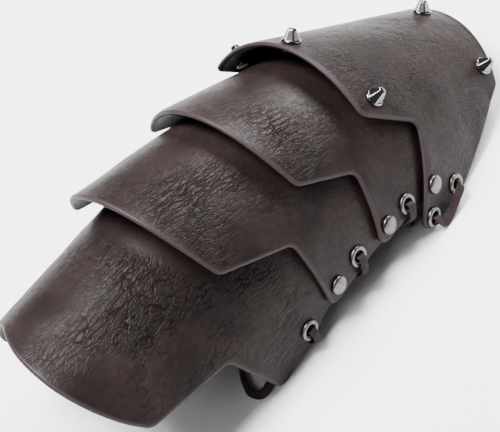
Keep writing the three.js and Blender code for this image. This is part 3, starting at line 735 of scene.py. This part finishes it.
def lathe_object(name, profile, around, place, normal, material, swell=None, closed=False):
    """A profile of (radius, height) turned about +Y: (radius sin a, height, radius cos a). A closed profile
    joins its ends; another starts and ends on the axis, each in one point. swell scales radii by angle."""
    angle = np.linspace(0, 2 * math.pi, around, endpoint=False)
    scale = np.ones((around, len(profile))) if swell is None else swell(angle)
    radius = profile[None, :, 0] * scale
    points = np.stack([radius * np.sin(angle)[:, None], np.broadcast_to(profile[None, :, 1], radius.shape),
                       radius * np.cos(angle)[:, None]], -1)
    ring = points if closed else points[:, 1:-1]
    flat = ring.reshape(-1, 3)
    index = np.arange(len(flat)).reshape(ring.shape[:2])
    faces = [quads(np.pad(index, ((0, 1), (0, int(closed))), mode="wrap"))]
    if not closed:
        right = np.roll(index, -1, axis=0)
        pole = np.full(around, len(flat))
        faces += [np.stack([pole, right[:, 0], index[:, 0]], -1),
                  np.stack([pole + 1, index[:, -1], right[:, -1]], -1)]
        flat = np.concatenate([flat, points[:1, 0], points[:1, -1]])
    return new_object(name, rest(placed(flat, place, normal)), faces, material, HARD_EDGE)


def level_under(lame, place, normal, radius):
    """Height of a fitting's inner side: clear of a lame's inner face all over a radius about it."""
    reach, turn = locate(lame, place)[:2]
    angle = np.arange(24) * math.pi / 12
    across = radius * np.sin(angle) / lame["size"]
    points = surface(lame, reach + radius * np.cos(angle), turn + across, LEATHER)[0]
    return -max(float(((place - points) @ normal).max()), 0.0) - SEAT - FACET


def stem(radius, shank, bottom):
    """Profile of a flat cap inside and the shank above it, up to the lame's face."""
    return [[0, bottom - CAP_THICK], [radius, bottom - CAP_THICK], [radius, bottom], [shank, bottom],
            [shank, SEAT]]


def make_rivet(name, lame, inner, reach, turn):
    """A rivet: a domed head whose height follows a quarter ellipse, a shank and a flat cap inside."""
    place, normal = surface(lame, reach, turn)
    bottom = level_under(inner, place, normal, CAP_RADIUS)
    dome = np.linspace(0.12, math.pi / 2, 14)
    rim, rise = SEAT + RIVET_RIM, RIVET_DOME - RIVET_RIM
    head = [[RIVET_RADIUS * math.cos(a), rim + rise * math.sin(a)] for a in dome[:-1]]
    corners = stem(CAP_RADIUS, RIVET_SHANK, bottom) + [[RIVET_RADIUS, SEAT], [RIVET_RADIUS, rim]]
    radii = [0, 0.3, 0.3, 0.1, 0.1, 0.2, 0] + [0] * len(head) + [0]
    profile = rounded_profile(corners + head + [[0, SEAT + RIVET_DOME]], radii)
    return lathe_object(name, profile, AROUND_FITTING, place, normal, SILVER)


def make_eyelet(name, lame, reach, turn):
    """An eyelet: a rolled flange outside whose section is a half ellipse, a barrel, a thin flange inside."""
    place, normal = surface(lame, reach, turn)
    back = level_under(lame, place, normal, EYE_BACK_RADIUS)
    middle, half = (EYE_RADIUS + EYE_BORE) / 2, (EYE_RADIUS - EYE_BORE) / 2
    angles = np.linspace(0, math.pi, 15)
    roll = [[middle + half * math.cos(a), SEAT + EYE_ROLL * 0.35 + EYE_ROLL * 0.65 * math.sin(a)]
            for a in angles]
    outer = EYE_BORE + EYE_BARREL
    corners = [[EYE_BORE, back - EYE_BACK], [EYE_BACK_RADIUS, back - EYE_BACK], [EYE_BACK_RADIUS, back],
               [outer, back], [outer, SEAT], [EYE_RADIUS, SEAT]] + roll
    return lathe_object(name, np.array(corners), AROUND_FITTING, place, normal, SILVER, closed=True)


def hexagon(angle, rows):
    """Radius factor of a hexagon with softened edges, (sum of |cos(a - k 60)|^26)^(-1/26), mixed with a
    circle's by each row's share: 1 is all hexagon and 0 is round."""
    sides = np.abs(np.cos(angle[:, None] - np.arange(3)[None] * math.pi / 3))
    factor = (sides ** 26).sum(1) ** (-1 / 26)
    return 1 + (factor[:, None] - 1) * rows[None]


def make_spike(name, reach, turn):
    """A spike: a round foot, a blunt cone with six flats and softened edges, and a screw inside."""
    place, normal = surface(CUFF, reach, turn)
    bottom = level_under(CUFF, place, normal, SCREW_HEAD)
    corners = stem(SCREW_HEAD, SCREW_RADIUS, bottom) + [
        [FOOT_RADIUS, SEAT], [FOOT_RADIUS, SEAT + FOOT_THICK * 0.55], [CONE_FOOT, SEAT + FOOT_THICK]]
    profile = list(rounded_profile(corners, [0, 0.2, 0.2, 0.1, 0.1, 0.2, 0.25, 0]))
    round_rows = len(profile)
    # The flats run from inside the foot's edge to just below the tip, which three more rows blunt
    flats, rise = CONE_FOOT * 0.88, SPIKE_HEIGHT - 0.6 - SEAT - FOOT_THICK
    for share in np.linspace(0, 1, 9):
        profile.append(np.array([flats + (CONE_TIP - 0.1 - flats) * share,
                                 SEAT + FOOT_THICK * 0.98 + rise * share]))
    profile += [np.array([CONE_TIP - 0.35, SPIKE_HEIGHT - 0.15]), np.array([CONE_TIP - 0.7, SPIKE_HEIGHT]),
                np.array([0, SPIKE_HEIGHT])]
    rows = np.concatenate([np.zeros(round_rows), np.ones(len(profile) - round_rows - 1), [0]])
    return lathe_object(name, np.array(profile), AROUND_SPIKE, place, normal, STEEL,
                        lambda angle: hexagon(angle, rows))


# Lace
def above_floor(point, clearance):
    """Raises a point until it clears the surface that the bracer rests on."""
    level = tipped(point, TILT)
    level[2] = max(level[2], FLOOR + clearance)
    return tipped(level, -TILT)


class Eye:
    """Points about one eyelet, by how far they lie down the face, below it and back along the lame: point
    measures down from the eyelet and hem from the lame's lower edge."""

    def __init__(self, index, side):
        _, on, self.angle, reach = EYELETS[index]
        self.lame = LAMES[on]
        self.side = side
        self.reach = reach * ARM
        self.along = self.lame["turned"][:, 0]

    def point(self, down, depth, back=0.0):
        turn = self.side * (math.radians(self.angle) + down / self.lame["size"])
        return surface(self.lame, self.reach + back, turn, depth)[0]

    def hem(self, down, depth, back=0.0):
        turn = self.side * (hem_turn(self.lame, self.reach) + down / self.lame["size"])
        return surface(self.lame, self.reach + back, turn, depth)[0]


def lace_half(sign, lift):
    """Stations of half the lace, each a point and the direction of the band's width: out of the hand
    eyelet, over the hem and across to the other side, and so on to the cuff, where it is slack."""
    stations = []
    under = LEATHER + FACET + SEAT + EYE_BACK
    out = -SEAT - EYE_ROLL

    def add(point, wide):
        stations.append((above_floor(point, LACE_WIDE * 0.65), wide))

    def face(eye, *place):
        add(eye.point(*place), eye.along)

    def low(eye, *place):
        add(eye.hem(*place), eye.along)

    def through(eye):
        face(eye, 0, under + LACE_THICK * 2)
        face(eye, 0, LEATHER / 2)
        face(eye, 0, out - LACE_THICK * 1.1)

    def over(eye):
        face(eye, EYE_RADIUS * 0.6, out - LACE_THICK * 1.4)
        low(eye, 0, -LACE_THICK * 1.9)
        low(eye, LACE_THICK * 2.1, LEATHER / 2)

    def across(start_eye, end_eye):
        start = start_eye.hem(LACE_THICK * 2.1, LEATHER / 2)
        end = end_eye.hem(LACE_THICK, under + LACE_THICK * 5, LACE_WIDE * 1.6)
        low(start_eye, 0, LEATHER + LACE_THICK * 4.5)
        middle = (start + end) / 2
        middle[1] = 0
        middle[2] = min(start[2], end[2]) - (LACE_SAG - lift)
        add(middle, start_eye.along)
        add(end, end_eye.along)

    hand, wrist, mid = Eye(0, sign), Eye(1, -sign), Eye(2, sign)
    cuff_front, cuff_rear = Eye(3, sign), Eye(4, sign)
    low(hand, LACE_WIDE, LEATHER + ARM * 0.3, -ARM * 0.3)
    face(hand, EYE_RADIUS, under + LACE_THICK * 4, -LACE_WIDE)
    for eye, following in ((hand, wrist), (wrist, mid)):
        through(eye)
        over(eye)
        across(eye, following)
    through(mid)
    over(mid)
    low(mid, LACE_WIDE * 1.6, under + LACE_THICK * 2, LACE_WIDE * 0.8)
    face(cuff_front, LACE_WIDE * 1.3, under + LACE_THICK * 5, -LACE_WIDE * 0.4)
    through(cuff_front)
    side = np.array([0, sign, 1]) / math.sqrt(2)
    add(cuff_front.point(LACE_WIDE * 1.1, -LACE_WIDE * 0.9, LACE_WIDE), side)
    for place in ((LACE_WIDE * 1.1, -LACE_WIDE * 0.9, -LACE_WIDE), (0, out - LACE_THICK * 1.1),
                  (0, LEATHER / 2), (0, under + LACE_THICK * 2), (-LACE_WIDE, under + LACE_THICK * 6)):
        add(cuff_rear.point(*place), side)
    return stations


def loop_stations():
    """The slack middle of the lace: it comes out below the near side of the hand lame's notch, leans
    outwards in a round loop and goes back in. Places are forward, across and above the table, in mm."""
    stations = []
    middle = np.array([-87.0, -44.0])
    for forward, across, above in ((-88, -30, 4.0), (-94, -38, 2.4), (-98, -46, 2.2),
                                   (-96.5, -51.5, 2.2), (-91, -52, 2.6), (-83, -49, 4.5)):
        wide = np.array([forward - middle[0], across - middle[1], -math.dist((forward, across), middle)])
        stations.append((tipped([forward, across, FLOOR + above], -TILT), tipped(unit(wide), -TILT)))
    return stations


def smooth_path(points, parts):
    """A centripetal spline through points: each stretch is a cubic whose end slopes weigh the steps on
    either side by the square root of their lengths."""
    points = np.array(points)
    points = np.concatenate([[2 * points[0] - points[1]], points, [2 * points[-1] - points[-2]]])
    a, b, c, d = points[:-3, None], points[1:-2, None], points[2:-1, None], points[3:, None]
    first, second, third = [np.sqrt(np.linalg.norm(q - p, axis=-1, keepdims=True))
                            for p, q in ((a, b), (b, c), (c, d))]
    slope_b = ((b - a) / first - (c - a) / (first + second) + (c - b) / second) * second
    slope_c = ((c - b) / second - (d - b) / (second + third) + (d - c) / third) * second
    t = np.linspace(0, 1, parts, endpoint=False)[None, :, None]
    path = (b * (2 * t ** 3 - 3 * t ** 2 + 1) + c * (3 * t ** 2 - 2 * t ** 3)
            + slope_b * (t ** 3 - 2 * t ** 2 + t) + slope_c * (t ** 3 - t ** 2))
    return np.concatenate([path.reshape(-1, 3), points[-2:-1]])


# Steps of the lace between stations and round its section, and the power of its superellipse
LACE_PARTS, LACE_AROUND, LACE_POWER = 12, 20, 0.55


def make_lace():
    """The lace: a band whose section is a superellipse, carried along the path with a wavering width."""
    stations = lace_half(-1, 0)[::-1] + loop_stations() + lace_half(1, LACE_THICK * 3)[1:]
    path = smooth_path([station[0] for station in stations], LACE_PARTS)
    place = np.arange(len(path)) / LACE_PARTS
    wides = np.array([station[1] for station in stations])
    wide = np.stack([np.interp(place, np.arange(len(wides)), wides[:, k]) for k in range(3)], 1)
    along = unit(np.gradient(path, axis=0))
    wide = unit(wide - along * (wide * along).sum(1, keepdims=True))
    thick = np.cross(along, wide)
    run = np.concatenate([[0], np.cumsum(np.linalg.norm(np.diff(path, axis=0), axis=1))])
    angle = np.linspace(0, 2 * math.pi, LACE_AROUND, endpoint=False)
    side, flat = [np.sign(wave) * np.abs(wave) ** LACE_POWER for wave in (np.cos(angle), np.sin(angle))]
    width = LACE_WIDE / 2 * (0.97 + 0.04 * layered(run / 9, run * 0, 301, 3))
    rough = 1 + 0.08 * layered(*np.broadcast_arrays(run[:, None] / 2.5, angle[None] * 2), 311, 2)
    points = (path[:, None] + wide[:, None] * (width[:, None] * side[None])[..., None]
              + thick[:, None] * (LACE_THICK / 2 * rough * flat[None])[..., None])
    count, around = points.shape[:2]
    index = np.arange(count * around).reshape(count, around)
    faces = [quads(np.pad(index, ((0, 0), (0, 1)), mode="wrap").T)]
    caps = [index[0][::-1][None], index[-1][None]]
    made = new_object("lace_band", rest(points.reshape(-1, 3)), faces + caps, BAND)
    edge = np.broadcast_to(smooth(np.abs(side), 0.8, 1.0)[None], (count, around))
    zero = np.zeros(count * around)
    store(made, {"edge": edge.ravel() * 0.5, "crease_shade": zero, "inside": zero, "worn": zero})
    return made


def drilled(piece, index):
    """Cuts the holes of a lame's eyelets through it."""
    radius, reach_through = EYE_BORE + EYE_BARREL + SEAT, 12.0
    profile = np.array([[0, -reach_through], [radius, -reach_through], [radius, reach_through],
                        [0, reach_through]])
    for on, angle, reach in both_sides(EYELETS):
        if on != index:
            continue
        place, normal = surface(LAMES[index], reach * ARM, math.radians(angle))
        tool = lathe_object("hole", profile, AROUND_HOLE, place, normal, HIDE)
        cut = piece.modifiers.new("hole", "BOOLEAN")
        cut.object = tool
        cut.operation = "DIFFERENCE"
        cut.solver = "MANIFOLD"
        bpy.context.view_layer.objects.active = piece
        with bpy.context.temp_override(object=piece, active_object=piece, selected_objects=[piece]):
            bpy.ops.object.modifier_apply(modifier=cut.name)
        bpy.data.objects.remove(tool)
    piece.data.polygons.foreach_set("use_smooth", np.ones(len(piece.data.polygons), bool))


# Strong fans of creases: centre, direction, length, breadth in mm and radians, and depth
MAIN_CREASES = [
    [(26, 33, 0.5, 40, 9, 1.0), (62, 52, 0.57, 30, 8, 0.7), (45, 18, 2.0, 22, 11, 0.7),
     (10, 56, 2.3, 22, 8, 0.5), (38, -15, 1.55, 26, 10, 0.4)],
    [(0, 22, 2.4, 20, 8, 0.5), (22, 22, 0.5, 28, 10, 0.75), (8, 40, 1.9, 22, 9, 0.7),
     (50, 55, 0.6, 24, 9, 0.4)],
    [(10, 24, 1.1, 22, 10, 0.55), (10, 42, 1.7, 18, 9, 0.5), (40, 40, 0.5, 20, 9, 0.4)],
    [(14, 33, 1.5, 20, 9, 0.5), (39, 50, 2.8, 24, 10, 0.45), (60, 20, 0.6, 26, 9, 0.35)],
]
# Columns of half a lame, rows between those near the edges, and strength of the relief
DRAWN = [(165, 165, 1.0), (165, 120, 0.8), (165, 110, 0.7), (185, 165, 0.55)]
for index, lame in enumerate(LAMES):
    half_columns, middle_rows, strength = DRAWN[index]
    leather_piece = make_lame(index, half_columns, middle_rows, 11 + 100 * index, strength,
                              MAIN_CREASES[index])
    drilled(leather_piece, index)
    settle(leather_piece, lame["name"])

for kind, fittings in (("rivet", RIVETS), ("eyelet", EYELETS)):
    for name, on, angle, reach in fittings:
        for side, sign in (("near", 1), ("far", -1)):
            title, at = f"{kind}_{name}_{side}", (reach * ARM, sign * math.radians(angle))
            if kind == "rivet":
                made = make_rivet(title + "_head", LAMES[on], LAMES[on - 1], *at)
            else:
                made = make_eyelet(title + "_ring", LAMES[on], *at)
            settle(made, title)
for name, angle, reach in SPIKES:
    settle(make_spike(f"spike_{name}_cone", reach * ARM, math.radians(angle)), f"spike_{name}")
settle(make_lace(), "lace")

# Floor, lights and camera
floor_points = np.array([[-6, -6, 0], [6, -6, 0], [6, 6, 0], [-6, 6, 0]], float)
floor_paint = plain_material("pale floor", (0.95, 0.95, 0.95), 0.95)
floor = new_object("floor", floor_points, [np.array([[0, 1, 2, 3]])], floor_paint)


def facing(back, right, place):
    """The matrix of a light or camera at a place that looks against back, with right to its right."""
    return Matrix(np.vstack([np.stack([right, np.cross(back, right), back, place], 1), [0, 0, 0, 1]]))


def area_light(name, place, aim, size, power):
    """A rectangular area light at a place in metres, turned to face another."""
    light = bpy.data.lights.new(name, "AREA")
    light.shape = "RECTANGLE"
    light.size, light.size_y = size
    light.energy = power
    made = bpy.data.objects.new(name, light)
    back = unit(np.subtract(place, aim))
    made.matrix_world = facing(back, unit(np.cross([0, 0, 1], back)), place)
    bpy.context.collection.objects.link(made)


world = bpy.data.worlds.new("studio")
world.use_nodes = True
sky = world.node_tree.nodes["Background"]
sky.inputs["Color"].default_value = (0.8, 0.8, 0.82, 1)
sky.inputs["Strength"].default_value = 0.17
bpy.context.scene.world = world
area_light("key light", (-0.25, 0.2, 1.2), (0, 0, 0.05), (0.6, 0.6), 66)
area_light("sheen light", (0.95, 0.05, 0.75), (0, 0, 0.08), (0.7, 0.45), 34)
area_light("side light", (-0.9, -0.3, 0.9), (0, 0, 0.05), (0.5, 0.4), 3)

azimuth, elevation, roll = [math.radians(CAMERA[key]) for key in ("azimuth", "elevation", "roll")]
back = np.array([math.sin(azimuth) * math.cos(elevation), -math.cos(azimuth) * math.cos(elevation),
                 math.sin(elevation)])
level = np.array([math.cos(azimuth), math.sin(azimuth), 0])
right = math.cos(roll) * level + math.sin(roll) * np.cross(back, level)
eye = rest(np.array(CAMERA["target"]) + back * CAMERA["distance"])
back, right = tipped(back, TILT), tipped(right, TILT)
camera_data = bpy.data.cameras.new("camera")
camera_data.sensor_width = SENSOR
camera_data.lens = CAMERA["focal"] / PICTURE_WIDTH * SENSOR
camera_data.clip_start = 0.05
camera = bpy.data.objects.new("camera", camera_data)
camera.matrix_world = facing(back, right, eye)
bpy.context.collection.objects.link(camera)
bpy.context.scene.camera = camera
